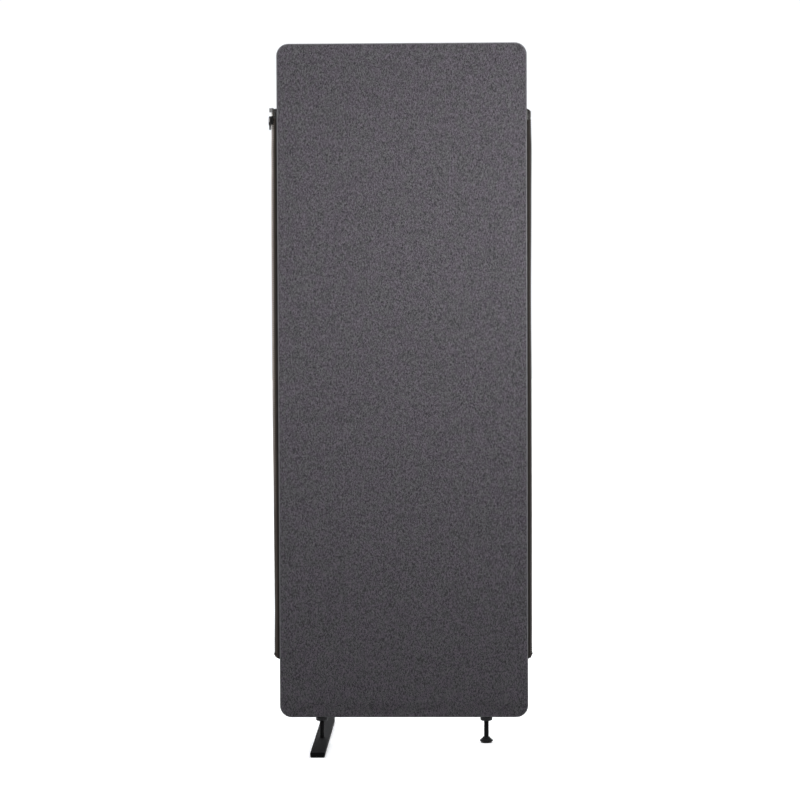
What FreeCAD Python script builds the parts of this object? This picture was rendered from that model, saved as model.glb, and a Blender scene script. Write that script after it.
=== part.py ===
"""Free-standing acoustic partition panel that zips edge to edge to its neighbours.

A welded-look steel tube frame with moulded corner elbows holds two felt core boards. Thin felt
boards and an edge band cover it, and a two-part fabric cover is drawn over them with its seam
round the middle of the edge. Half of a separating zipper stands out of that seam on each side:
the left half carries the retainer box and the slider, the right half the loose pin. Two threaded
stems screw into nuts in the bottom rail: one carries a long flat foot, the other a round glide.

Frame: millimetres, X across the panel, -Y towards the front, +Z up, origin on the floor under
the middle of the panel.
"""

import FreeCAD
import Part
import math
import os

V = FreeCAD.Vector
X, Y, Z = V(1, 0, 0), V(0, 1, 0), V(0, 0, 1)

# ---------------------------------------------------------------- driving dimensions
PANEL_W = 598.0  # over the fabric
PANEL_H = 1615.0
FLOOR_GAP = 62.0  # floor to the panel's lower edge
CORNER_R = 29.0

FABRIC_T = 1.0
FELT_BOARD_T = 4.0
EDGE_BAND_T = 4.0
TUBE = 20.0  # square tube, outside
TUBE_WALL = 1.5
LAY_GAP = 0.1  # between layers that lie on each other
SEAM_GAP = 1.4  # between the two halves of the cover, where the tape comes out
COVER_EDGE_R = 3.0

ELBOW_ARM = 45.0
SPIGOT_LEN = 30.0
SPIGOT_FIT = 0.3  # each side, inside the tube
ELBOW_INNER_R = 6.0
CORE_CLEAR = 3.0  # core board to tubes, room for the screw heads
CORE_CORNER_R = 8.0

SCREW_R = 1.95
SCREW_LEN = 11.0
SCREW_HEAD_R = 3.8
SCREW_HEAD_T = 2.2
SCREW_FIT = 0.06

MID_SCREW_R = 2.45
MID_SCREW_HEAD_R = 4.5
MID_SCREW_HEAD_T = 3.0
MID_SCREW_LEN = 22.0
MID_PLUG_LEN = 28.0

STEM_INSET = 101.0  # panel side edge to stem axis
STEM_R = 6.0
THREAD_FIT = 0.05  # radial, thread stood for by plain faces
NUT_AF = 16.6
NUT_H = 16.5
STEM_CLEAR = 0.4  # radial, through the tube walls and the collar
COLLAR_R = 14.5
COLLAR_H = 9.0
COLLAR_EDGE_R = 3.6
COLLAR_SPIGOT_R = 8.0
COLLAR_RECESS_R = 8.6
COLLAR_RECESS_H = 2.0
SPIGOT_HOLE_FIT = 0.1

FOOT_FRONT = 200.0  # stem axis to the bar's front end
FOOT_REAR = 284.0
# the origin is on the floor under the middle of everything, and the panel stands in front of it
PANEL_Y = -(FOOT_REAR - FOOT_FRONT) / 2
FOOT_W = 34.0
FOOT_BAR_T = 10.0
FOOT_PAD_T = 2.5
FOOT_PAD_LEN = 60.0
FOOT_PAD_INSET = 4.0
FOOT_PAD_SIDE = 1.5
FOOT_EDGE_R = 1.2
FOOT_SCREW_R = 3.0
FOOT_SCREW_HEAD_R = 6.0
FOOT_SCREW_DEPTH = 14.0  # into the stem
FOOT_SCREW_KEY_AF = 4.0
FOOT_SCREW_KEY_DEPTH = 2.4

GLIDE_R = 16.0
GLIDE_H = 13.5
GLIDE_RIM_Z = 5.0
GLIDE_TOP_R = 8.4
GLIDE_SOLE_T = 2.5
GLIDE_SOLE_R = 13.0
GLIDE_NECK_T = 4.0
STEM_HEAD_R = 9.0
STEM_HEAD_T = 3.0
STEM_HEAD_FIT = 0.05
GLIDE_TRAVEL = 10.0  # each way from rest

TAPE_TOP_DROP = 153.5  # panel top to the left tape's upper end
TAPE_TOP_STEP = 3.5  # the right tape starts this much lower
TAPE_END_RISE = 140.0  # panel bottom to the tape's lower end
TAPE_T = 0.8
TAPE_CURL = 8.2  # seam to where the tape's curl ends, along the tape
TAPE_W = 12.4  # seam to the corded edge, under the teeth
TAPE_HIDDEN = 4.4
TAPE_TAPER = 8.0
TAPE_ANGLES = {"left": 38.0, "right": 66.0}  # how far the teeth have swung back
RIGHT_TOP_SLANT = 5.0
FILM_T = 0.15
FILM_LEN = 22.0
FILM_IN = 0.8
FILM_W = 7.2

TEETH_IN = 9.9  # seam to the inner side of the teeth
TEETH_W = 5.0
TEETH_T = 3.4
TEETH_START = 24.0  # below the tape's upper end
TEETH_STOP = 14.5  # above the tape's lower end
TAPE_FIT = 0.05
PIN_IN = 11.4
PIN_W = 3.2
PIN_T = 2.8
PIN_END = 23.0
STOP_H = 5.0
STOP_IN = 10.5
STOP_OUT = 15.1
STOP_T = 4.4

BOX_IN = 9.8
BOX_W = 10.4
BOX_T = 5.4
BOX_RISE = 2.0  # box above the tape's upper end
BOX_H = 9.9
BOX_WALL = 1.1
BOX_FIT = 0.1
BOX_EDGE_R = 0.8
BOX_PIN_HOLE_W = 3.2
BOX_PIN_HOLE_T = 3.0

SLIDER_TOP_DROP = 17.5  # tape's upper end to the slider's narrow end
SLIDER_H = 19.6
SLIDER_W = 13.6
SLIDER_NARROW = 10.4
SLIDER_GAP = 4.0  # between the plates
SLIDER_PLATE = 1.5
SLIDER_LIP = 1.3
SLIDER_LIP_GAP = 1.8
SLIDER_POST_W = 2.2
SLIDER_POST_H = 6.0
SLIDER_CORNER_R = 1.6
POST_FIT = 0.5
BRIDGE_W = 3.4
BRIDGE_LEN = 15.0
BRIDGE_RISE = 5.0
BRIDGE_T = 1.8
BRIDGE_HOLE = 9.6
BRIDGE_SLOPE = 3.0

PULL_T = 1.6
PULL_LEN = 20.7
PULL_TOP_W = 7.6
PULL_GRIP_W = 5.6
PULL_NECK_W = 4.4
PULL_NECK_LEN = 3.0
PULL_SIDE_FIT = 0.3
PULL_BAR = 1.7
PULL_WINDOW = 5.0
PULL_EYE_R = 1.4
PULL_EYE_RISE = 4.0
PULL_PIVOT_DROP = 3.0  # slider middle to the pull's axis
PULL_LIFT = 0.8  # plate to the back of the pull

# ---------------------------------------------------------------- worked-out places
PANEL_T = TUBE + 2 * (FELT_BOARD_T + FABRIC_T + 2 * LAY_GAP)
Z_LOW = FLOOR_GAP
Z_HIGH = FLOOR_GAP + PANEL_H
HALF_T = PANEL_T / 2
HALF_W = PANEL_W / 2
STEM_X = HALF_W - STEM_INSET
BAND_INSET = FABRIC_T + LAY_GAP
FRAME_INSET = BAND_INSET + EDGE_BAND_T + LAY_GAP
RAIL_LOW = Z_LOW + FRAME_INSET  # bottom rail's lower face
RAIL_FLOOR = RAIL_LOW + TUBE_WALL
BAR_TOP = FOOT_PAD_T + FOOT_BAR_T
STEM_TOP = RAIL_FLOOR + NUT_H - 1.0
TAPE_TOPS = {"left": Z_HIGH - TAPE_TOP_DROP, "right": Z_HIGH - TAPE_TOP_DROP - TAPE_TOP_STEP}
TAPE_TOP = TAPE_TOPS["left"]
TAPE_END = Z_LOW + TAPE_END_RISE
SLIDER_MID = TAPE_TOP - SLIDER_TOP_DROP - SLIDER_H / 2
TEETH_OUT = TEETH_IN + TEETH_W


# ---------------------------------------------------------------- shape helpers
def block(x0, x1, y0, y1, z0, z1):
    return Part.makeBox(x1 - x0, y1 - y0, z1 - z0, V(x0, y0, z0))


def rod(radius, z0, z1, x=0.0, y=0.0):
    return Part.makeCylinder(radius, z1 - z0, V(x, y, z0), Z)


def prism(edges, along):
    return Part.Face(Part.Wire(edges)).extrude(along)


def polygon(points, along):
    return Part.Face(Part.makePolygon(points + [points[0]])).extrude(along)


def hexagon(across_flats, z0, z1, x=0.0):
    corner = across_flats / math.sqrt(3)
    turns = [math.radians(60 * k) for k in range(6)]
    return polygon(
        [V(x + corner * math.cos(a), corner * math.sin(a), z0) for a in turns],
        V(0, 0, z1 - z0),
    )


def revolved(profile, x=0.0):
    """A solid turned from (radius, height) points about a vertical line at x."""
    points = [V(x + r, 0, z) for r, z in profile]
    face = Part.Face(Part.makePolygon(points + [points[0]]))
    return face.revolve(V(x, 0, 0), Z, 360)


def rounded_slab(inset, radius, y0, y1):
    """The panel's outline, drawn in by inset, as a slab between two depths."""
    w, low, high = HALF_W - inset, Z_LOW + inset, Z_HIGH - inset
    r, c = radius, radius * (1 - math.sqrt(0.5))
    path = [
        Part.makeLine(V(-w + r, y0, low), V(w - r, y0, low)),
        Part.Arc(V(w - r, y0, low), V(w - c, y0, low + c), V(w, y0, low + r)).toShape(),
        Part.makeLine(V(w, y0, low + r), V(w, y0, high - r)),
        Part.Arc(V(w, y0, high - r), V(w - c, y0, high - c), V(w - r, y0, high)).toShape(),
        Part.makeLine(V(w - r, y0, high), V(-w + r, y0, high)),
        Part.Arc(V(-w + r, y0, high), V(-w + c, y0, high - c), V(-w, y0, high - r)).toShape(),
        Part.makeLine(V(-w, y0, high - r), V(-w, y0, low + r)),
        Part.Arc(V(-w, y0, low + r), V(-w + c, y0, low + c), V(-w + r, y0, low)).toShape(),
    ]
    return prism(path, V(0, y1 - y0, 0))


def edges_at(shape, axis, value):
    """Edges that lie wholly in the plane where that axis has that value."""
    low, high = {"x": ("XMin", "XMax"), "y": ("YMin", "YMax"), "z": ("ZMin", "ZMax")}[axis]
    near = 1e-4
    return [
        e
        for e in shape.Edges
        if abs(getattr(e.BoundBox, low) - value) < near
        and abs(getattr(e.BoundBox, high) - value) < near
    ]


def softened(shape, radius, axis, value):
    return shape.makeFillet(radius, edges_at(shape, axis, value))


def save(node, *shapes):
    os.makedirs("parts", exist_ok=True)
    solids = [s for shape in shapes for s in shape.Solids]
    for solid in solids:
        if not solid.isValid() or solid.Volume <= 0:
            raise ValueError("bad solid in " + node)
    whole = solids[0] if len(solids) == 1 else Part.makeCompound(solids)
    whole = whole.copy()
    whole.translate(V(0, PANEL_Y, 0))
    whole.exportStep("parts/" + node + ".step")


def mirrored(shape):
    return shape.mirror(V(0, 0, 0), X)


# ---------------------------------------------------------------- frame
def tube(x0, x1, z0, z1, run):
    """A square tube centred in the panel's depth, open at both ends along run."""
    t, h = TUBE_WALL, TUBE / 2
    outside = block(x0, x1, -h, h, z0, z1)
    if run == "z":
        return outside.cut(block(x0 + t, x1 - t, -h + t, h - t, z0, z1))
    return outside.cut(block(x0, x1, -h + t, h - t, z0 + t, z1 - t))


def frame_screw(point, away):
    """A pan-head screw whose head sits on a tube face at point; away points out of the tube."""
    shank = Part.makeCylinder(SCREW_R, SCREW_LEN, point, away * -1)
    head = Part.makeCylinder(SCREW_HEAD_R, SCREW_HEAD_T, point, away)
    return shank.fuse(head).removeSplitter()


def screw_places():
    """Each frame screw's seat and the way its head faces: two at every elbow."""
    reach = ELBOW_ARM + SPIGOT_LEN / 2
    w, low, high = HALF_W - FRAME_INSET, Z_LOW + FRAME_INSET, Z_HIGH - FRAME_INSET
    places = []
    for side in (-1, 1):
        for z, up in ((low, 1), (high, -1)):
            places.append((V(side * (w - TUBE), 0, z + up * reach), V(-side, 0, 0)))
            places.append((V(side * (w - reach), 0, z + up * TUBE), V(0, 0, up)))
    return places


def screw_holes():
    fit, extra = SCREW_R + SCREW_FIT, 1.0
    return [
        Part.makeCylinder(fit, SCREW_LEN + 2 * extra, point + away * extra, away * -1)
        for point, away in screw_places()
    ]


def build_frame():
    w, low, high = HALF_W - FRAME_INSET, Z_LOW + FRAME_INSET, Z_HIGH - FRAME_INSET
    holes = Part.makeCompound(screw_holes())
    mid = (low + high) / 2
    inner = w - TUBE

    stile = tube(w - TUBE, w, low + ELBOW_ARM, high - ELBOW_ARM, "z")
    stile = stile.cut(
        Part.makeCylinder(MID_SCREW_R + SCREW_FIT, 2 * TUBE_WALL, V(inner - 0.5, 0, mid), X)
    )
    driver_hole = Part.makeCylinder(MID_SCREW_HEAD_R + 0.5, 2 * TUBE_WALL, V(w - 2, 0, mid), X)
    stile = stile.cut(driver_hole)
    save("frame_right_stile", stile.cut(holes))
    save("frame_left_stile", mirrored(stile).cut(holes))

    top = tube(-w + ELBOW_ARM, w - ELBOW_ARM, high - TUBE, high, "x")
    save("frame_top_rail", top.cut(holes))

    bottom = tube(-w + ELBOW_ARM, w - ELBOW_ARM, low, low + TUBE, "x")
    for x in (-STEM_X, STEM_X):
        bottom = bottom.cut(rod(STEM_R + STEM_CLEAR, low - 1, low + TUBE + 1, x))
    save("frame_bottom_rail", bottom.cut(holes))

    mid_end = inner - LAY_GAP
    save("frame_mid_rail", tube(-mid_end, mid_end, mid - TUBE / 2, mid + TUBE / 2, "x"))

    bore = TUBE - 2 * TUBE_WALL - 2 * SPIGOT_FIT
    plug = block(mid_end - MID_PLUG_LEN, mid_end, -bore / 2, bore / 2, mid - bore / 2, mid + bore / 2)
    pilot_x = inner + TUBE_WALL - MID_SCREW_LEN - 1
    plug = plug.cut(
        Part.makeCylinder(MID_SCREW_R + SCREW_FIT, MID_SCREW_LEN + 2, V(pilot_x, 0, mid), X)
    )
    save("mid_rail_plugs", plug, mirrored(plug))

    seat = inner + TUBE_WALL
    screw = Part.makeCylinder(MID_SCREW_R, MID_SCREW_LEN, V(seat, 0, mid), X * -1)
    screw = screw.fuse(Part.makeCylinder(MID_SCREW_HEAD_R, MID_SCREW_HEAD_T, V(seat, 0, mid), X))
    screw = screw.removeSplitter()
    save("mid_rail_screws", screw, mirrored(screw))

    build_elbows(w, low, high, holes)
    save("frame_screws", *[frame_screw(point, away) for point, away in screw_places()])


def build_elbows(w, low, high, holes):
    h = TUBE / 2
    ring = rounded_slab(FRAME_INSET, CORNER_R - FRAME_INSET, -h, h)
    ring = ring.cut(rounded_slab(FRAME_INSET + TUBE, ELBOW_INNER_R, -h, h))
    bore = TUBE - 2 * TUBE_WALL - 2 * SPIGOT_FIT
    b, edge = bore / 2, ELBOW_ARM - LAY_GAP
    for side, side_word in ((-1, "left"), (1, "right")):
        for level, level_word in ((-1, "bottom"), (1, "top")):
            corner_z = low if level < 0 else high
            inward = -level
            x0, x1 = sorted((side * w, side * (w - edge)))
            z0, z1 = sorted((corner_z, corner_z + inward * edge))
            elbow = ring.common(block(x0, x1, -h, h, z0, z1))
            far = edge + SPIGOT_LEN
            mid_x, mid_z = side * (w - h), corner_z + inward * h
            sx0, sx1 = sorted((side * (w - edge), side * (w - far)))
            sz0, sz1 = sorted((corner_z + inward * edge, corner_z + inward * far))
            elbow = elbow.fuse(
                [
                    block(sx0, sx1, -b, b, mid_z - b, mid_z + b),
                    block(mid_x - b, mid_x + b, -b, b, sz0, sz1),
                ]
            )
            name = "elbow_" + level_word + "_" + side_word
            save(name, elbow.removeSplitter().cut(holes))


# ---------------------------------------------------------------- infill and cover
def build_infill():
    inner = HALF_W - FRAME_INSET - TUBE - CORE_CLEAR
    low = Z_LOW + FRAME_INSET + TUBE + CORE_CLEAR
    high = Z_HIGH - FRAME_INSET - TUBE - CORE_CLEAR
    mid = (low + high) / 2
    half = TUBE / 2 - LAY_GAP
    step = TUBE / 2 + CORE_CLEAR

    def board(z0, z1):
        slab = block(-inner, inner, -half, half, z0, z1)
        upright = [e for e in slab.Edges if e.BoundBox.YLength > half]
        return slab.makeFillet(CORE_CORNER_R, upright)

    save("core_board_upper", board(mid + step, high))
    lower = board(low, mid - step)
    reach = STEM_TOP + GLIDE_TRAVEL + 2
    for x in (-STEM_X, STEM_X):
        lower = lower.cut(rod(STEM_R + 2, low - 1, reach, x))
    save("core_board_lower", lower)

    board_r = CORNER_R - BAND_INSET
    front, back = -HALF_T + BAND_INSET, -TUBE / 2 - LAY_GAP
    face = rounded_slab(BAND_INSET, board_r, front, back)
    face = softened(face, COVER_EDGE_R - BAND_INSET, "y", front)
    save("felt_board_front", face)
    save("felt_board_rear", face.mirror(V(0, 0, 0), Y))

    h = TUBE / 2
    band = rounded_slab(BAND_INSET, board_r, -h, h)
    inner_inset = BAND_INSET + EDGE_BAND_T
    band = band.cut(rounded_slab(inner_inset, CORNER_R - inner_inset, -h, h))
    slot = (TAPE_T + 0.2) / 2
    for side in (-1, 1):
        x0, x1 = sorted((side * HALF_W, side * (HALF_W - inner_inset - 1)))
        band = band.cut(block(x0, x1, -slot, slot, TAPE_END - 2, TAPE_TOP + 2))
        hole = COLLAR_SPIGOT_R + SPIGOT_HOLE_FIT
        band = band.cut(rod(hole, Z_LOW, RAIL_LOW, side * STEM_X))
    save("edge_felt_band", band)


def build_cover():
    outer = rounded_slab(0, CORNER_R, -HALF_T, -SEAM_GAP / 2)
    outer = softened(outer, COVER_EDGE_R, "y", -HALF_T)
    inside_front = -HALF_T + FABRIC_T
    inner = rounded_slab(FABRIC_T, CORNER_R - FABRIC_T, inside_front, 0)
    inner = softened(inner, COVER_EDGE_R - FABRIC_T, "y", inside_front)
    cover = outer.cut(inner)
    for x in (-STEM_X, STEM_X):
        cover = cover.cut(rod(COLLAR_SPIGOT_R + SPIGOT_HOLE_FIT, Z_LOW - 1, RAIL_LOW, x))
    save("cover_front", cover)
    save("cover_rear", cover.mirror(V(0, 0, 0), Y))


# ---------------------------------------------------------------- zipper
# Each half is drawn as if on the right: u runs along the tape from the seam, the front is -Y. The
# tape leaves the seam in a curl and is straight where the metal parts sit; they are drawn flat, on
# the straight line y = 0, and set in place.
def curl_point(side, along, behind, z):
    """The point that far along the tape from the seam, and that far behind its middle."""
    radius = TAPE_CURL / math.radians(TAPE_ANGLES[side])
    a = min(along, TAPE_CURL) / radius
    on_arc = V(0, radius, z) + V(math.sin(a), -math.cos(a), 0) * (radius - behind)
    return on_arc + V(math.cos(a), math.sin(a), 0) * max(0.0, along - TAPE_CURL)


def curl_strip(side, off0, off1, s0, s1, z0, z1):
    """A strip between two offsets from the tape's middle, from s0 to s1 along it."""
    bend = min(s1, TAPE_CURL)

    def at(along, off):
        return curl_point(side, along, off, z0)

    def arc(off, start, stop):
        middle = at((start + stop) / 2, off)
        return Part.Arc(at(start, off), middle, at(stop, off)).toShape()

    path = [arc(off0, s0, bend)]
    if s1 > bend:
        path.append(Part.makeLine(at(bend, off0), at(s1, off0)))
    path.append(Part.makeLine(at(s1, off0), at(s1, off1)))
    if s1 > bend:
        path.append(Part.makeLine(at(s1, off1), at(bend, off1)))
    path.append(arc(off1, bend, s0))
    path.append(Part.makeLine(at(s0, off1), at(s0, off0)))
    return prism(path, V(0, 0, z1 - z0))


def to_edge(shape, side):
    """Moves a shape drawn about the seam to its side edge of the panel."""
    placed = shape.copy()
    placed.translate(V(HALF_W, 0, 0))
    return placed if side == "right" else mirrored(placed)


def set_on_tape(shape, side):
    """Sets a flat-drawn shape on the straight part of a tape."""
    angle = TAPE_ANGLES[side]
    bend = curl_point(side, TAPE_CURL, 0, 0)
    turn = math.radians(angle)
    placed = shape.copy()
    placed.rotate(V(0, 0, 0), Z, angle)
    placed.translate(bend - V(math.cos(turn), math.sin(turn), 0) * TAPE_CURL)
    return to_edge(placed, side)


def leaf(u0, u1, thick, z0, z1):
    return block(u0, u1, -thick / 2, thick / 2, z0, z1)


def grip(u0, u1, thick, z0, z1):
    """A strip that clamps the tape's edge: a bar with a slot for the tape."""
    slot = leaf(u0 - 1, TAPE_W + TAPE_FIT, TAPE_T + 2 * TAPE_FIT, z0 - 1, z1 + 1)
    return leaf(u0, u1, thick, z0, z1).cut(slot)


def taper_cut(side):
    """Everything outside the curve in which the tape runs back into the seam at its lower end."""
    reach = curl_point(side, TAPE_W, 0, 0).x + TAPE_T
    low, high = TAPE_END, TAPE_END + TAPE_TAPER
    front, deep = -TAPE_T * 2, TAPE_W + TAPE_T * 4
    start, stop = V(reach, front, high), V(0, front, low)
    corner = V(reach, front, low - 1)
    path = [
        Part.Arc(start, V(reach * 0.66, front, low + TAPE_TAPER * 0.34), stop).toShape(),
        Part.makeLine(stop, V(0, front, low - 1)),
        Part.makeLine(V(0, front, low - 1), corner),
        Part.makeLine(corner, start),
    ]
    return prism(path, V(0, deep, 0))


def tape(side):
    half, top = TAPE_T / 2, TAPE_TOPS[side]
    shown = curl_strip(side, -half, half, 0, TAPE_W, TAPE_END, top).cut(taper_cut(side))
    if side == "right":
        reach = curl_point(side, TAPE_W, 0, 0).x + TAPE_T
        wedge = [
            V(0, -2, top),
            V(reach, -2, top - RIGHT_TOP_SLANT),
            V(reach, -2, top + 1),
            V(0, -2, top + 1),
        ]
        shown = shown.cut(polygon(wedge, V(0, TAPE_W + 4, 0)))
    hidden = block(-TAPE_HIDDEN, 0, -half, half, TAPE_END, top)
    return to_edge(shown.fuse(hidden).removeSplitter(), side)


def films(side):
    z1 = TAPE_TOPS[side] - (RIGHT_TOP_SLANT if side == "right" else 0.5)
    inner, outer = TAPE_T / 2, TAPE_T / 2 + FILM_T
    span = (FILM_IN, FILM_IN + FILM_W, z1 - FILM_LEN, z1)
    front = curl_strip(side, -outer, -inner, *span)
    return [to_edge(film, side) for film in (front, curl_strip(side, inner, outer, *span))]


def build_zip_halves():
    teeth_low = TAPE_END + TEETH_STOP
    for side in ("left", "right"):
        save("zip_tape_" + side, tape(side))
        save("zip_end_film_" + side, *films(side))
        teeth = grip(TEETH_IN, TEETH_OUT, TEETH_T, teeth_low, TAPE_TOP - TEETH_START)
        save("zip_teeth_" + side, set_on_tape(teeth, side))
        stop = grip(STOP_IN, STOP_OUT, STOP_T, teeth_low - STOP_H - 0.5, teeth_low - 0.5)
        save("zip_bottom_stop_" + side, set_on_tape(stop, side))

    pin_low, pin_out = TAPE_TOP - PIN_END, PIN_IN + PIN_W
    loose = grip(PIN_IN, pin_out, PIN_T, pin_low, TAPE_TOPS["right"] - RIGHT_TOP_SLANT)
    save("zip_insertion_pin", set_on_tape(loose, "right"))
    fixed = grip(PIN_IN, pin_out, PIN_T, pin_low, TAPE_TOP - 0.5)
    save("zip_fixed_pin", set_on_tape(fixed, "left"))
    save("zip_retainer_box", set_on_tape(retainer_box(), "left"))


def retainer_box():
    high = TAPE_TOP + BOX_RISE
    low = high - BOX_H
    box = leaf(BOX_IN, BOX_IN + BOX_W, BOX_T, low, high)
    upright = [e for e in box.Edges if e.BoundBox.ZLength > BOX_H / 2]
    box = softened(box.makeFillet(BOX_EDGE_R, upright), BOX_EDGE_R, "z", high)
    reach = high - BOX_WALL
    tape_slot = leaf(BOX_IN - 1, PIN_IN, TAPE_T + 2 * BOX_FIT, low - 1, TAPE_TOP + BOX_FIT)
    pin_hole = leaf(
        PIN_IN - BOX_FIT, PIN_IN + PIN_W + BOX_FIT, PIN_T + 2 * BOX_FIT, low - 1, TAPE_TOP
    )
    loose_in = PIN_IN + PIN_W + BOX_FIT + 0.4
    loose_hole = leaf(loose_in, loose_in + BOX_PIN_HOLE_W, BOX_PIN_HOLE_T, low - 1, reach)
    return box.cut([tape_slot, pin_hole, loose_hole])


def slider_plate_outline(y):
    """The slider's plate: wide at the mouth below, narrower at the top."""
    mid, wide, narrow = TEETH_OUT, SLIDER_W / 2, SLIDER_NARROW / 2
    low, high = SLIDER_MID - SLIDER_H / 2, SLIDER_MID + SLIDER_H / 2
    shoulder = SLIDER_MID + SLIDER_H * 0.1
    return [
        V(mid - wide, y, low),
        V(mid + wide, y, low),
        V(mid + wide, y, shoulder),
        V(mid + narrow, y, high),
        V(mid - narrow, y, high),
        V(mid - wide, y, shoulder),
    ]


def slider_body():
    reach = SLIDER_GAP / 2 + SLIDER_PLATE
    whole = polygon(slider_plate_outline(-reach), V(0, 2 * reach, 0))
    across = [e for e in whole.Edges if e.BoundBox.YLength > reach]
    whole = whole.makeFillet(SLIDER_CORNER_R, across)
    whole = softened(whole, 0.5, "y", -reach)

    mid, wide = TEETH_OUT, SLIDER_W / 2
    low, high = SLIDER_MID - SLIDER_H / 2 - 1, SLIDER_MID + SLIDER_H / 2 + 1
    channel = leaf(mid - wide + SLIDER_LIP, mid + wide - SLIDER_LIP, SLIDER_GAP, low, high)
    tape_way = leaf(mid - wide - 1, mid + wide + 1, SLIDER_LIP_GAP, low, high)
    body = whole.cut([channel, tape_way])

    post_in = TEETH_OUT + POST_FIT
    post_low = SLIDER_MID - SLIDER_H / 2 + 0.6
    post_mid = post_low + SLIDER_POST_H * 0.45
    depth = SLIDER_GAP / 2 + SLIDER_PLATE / 2
    post = polygon(
        [
            V(post_in, -depth, post_mid),
            V(post_in + SLIDER_POST_W / 2, -depth, post_low),
            V(post_in + SLIDER_POST_W, -depth, post_mid),
            V(post_in + SLIDER_POST_W / 2, -depth, post_low + SLIDER_POST_H),
        ],
        V(0, 2 * depth, 0),
    )
    return body.fuse([post, bridge(reach)]).removeSplitter()


def bridge(plate_face):
    """The cast loop on the front plate that the pull hangs from."""
    u0, half = TEETH_OUT - BRIDGE_W / 2, BRIDGE_LEN / 2
    foot, crown = -plate_face + 0.4, -plate_face - BRIDGE_RISE
    outer = polygon(
        [
            V(u0, foot, SLIDER_MID - half),
            V(u0, crown, SLIDER_MID - half + BRIDGE_SLOPE),
            V(u0, crown, SLIDER_MID + half - BRIDGE_SLOPE),
            V(u0, foot, SLIDER_MID + half),
        ],
        V(BRIDGE_W, 0, 0),
    )
    hole = block(
        u0 - 1,
        u0 + BRIDGE_W + 1,
        crown + BRIDGE_T,
        -plate_face,
        SLIDER_MID - BRIDGE_HOLE / 2,
        SLIDER_MID + BRIDGE_HOLE / 2,
    )
    return outer.cut(hole)


def pull_tab():
    """A flat pull with a window at its top, whose round bar lies under the slider's bridge."""
    face = SLIDER_GAP / 2 + SLIDER_PLATE
    back = -face - PULL_LIFT
    front = back - PULL_T
    pivot = SLIDER_MID - PULL_PIVOT_DROP
    high, low = pivot + PULL_BAR / 2, pivot + PULL_BAR / 2 - PULL_LEN
    head = high - PULL_BAR - PULL_WINDOW - 2.0
    u, top, neck, grip_w = TEETH_OUT, PULL_TOP_W / 2, PULL_NECK_W / 2, PULL_GRIP_W / 2
    right_side = [
        (top, high),
        (top, head),
        (neck, head - PULL_NECK_LEN),
        (grip_w, low + grip_w),
        (grip_w * 0.6, low),
    ]
    outline = [V(u + half, front, z) for half, z in right_side]
    outline += [V(u - half, front, z) for half, z in reversed(right_side)]
    tab = polygon(outline, V(0, PULL_T, 0))
    across = [e for e in tab.Edges if e.BoundBox.YLength > PULL_T / 2]
    tab = tab.makeFillet(0.7, across)
    side = BRIDGE_W / 2 + PULL_SIDE_FIT
    window = block(u - side, u + side, front - 1, back + 1, high - PULL_BAR - PULL_WINDOW, high + 1)
    eye = Part.makeCylinder(PULL_EYE_R, PULL_T + 2, V(u, front - 1, low + PULL_EYE_RISE), Y)
    bar_start = V(u - side - 0.5, (front + back) / 2, pivot)
    bar = Part.makeCylinder(PULL_BAR / 2, 2 * side + 1, bar_start, X)
    return tab.cut([window, eye]).fuse(bar).removeSplitter()


def build_slider():
    save("slider_body", set_on_tape(slider_body(), "left"))
    save("pull_tab", set_on_tape(pull_tab(), "left"))


# ---------------------------------------------------------------- feet
def build_sockets():
    for side, word in ((-1, "left"), (1, "right")):
        x = side * STEM_X
        nut = hexagon(NUT_AF, RAIL_FLOOR, RAIL_FLOOR + NUT_H, x)
        nut = nut.cut(rod(STEM_R + THREAD_FIT, RAIL_FLOOR - 1, RAIL_FLOOR + NUT_H + 1, x))
        save("weld_nut_" + word, nut)

        flange = rod(COLLAR_R, Z_LOW - COLLAR_H, Z_LOW, x)
        flange = softened(flange, COLLAR_EDGE_R, "z", Z_LOW - COLLAR_H)
        spigot = rod(COLLAR_SPIGOT_R, Z_LOW - 1, RAIL_LOW - LAY_GAP, x)
        collar = flange.fuse(spigot).removeSplitter()
        collar = collar.cut(rod(STEM_R + STEM_CLEAR, Z_LOW - COLLAR_H - 1, RAIL_LOW + 1, x))
        recess_top = Z_LOW - COLLAR_H + COLLAR_RECESS_H
        collar = collar.cut(rod(COLLAR_RECESS_R, Z_LOW - COLLAR_H - 1, recess_top, x))
        save("socket_collar_" + word, collar)


def foot_screw():
    """Countersunk from under the bar, up into the stem."""
    x, rise = -STEM_X, FOOT_SCREW_HEAD_R - FOOT_SCREW_R
    head_low = FOOT_PAD_T + 0.3
    profile = [
        (0, head_low),
        (FOOT_SCREW_HEAD_R, head_low),
        (FOOT_SCREW_R, head_low + rise),
        (FOOT_SCREW_R, BAR_TOP + FOOT_SCREW_DEPTH),
        (0, BAR_TOP + FOOT_SCREW_DEPTH),
    ]
    key = hexagon(FOOT_SCREW_KEY_AF, head_low - 1, head_low + FOOT_SCREW_KEY_DEPTH, x)
    return revolved(profile, x).cut(key)


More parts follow.
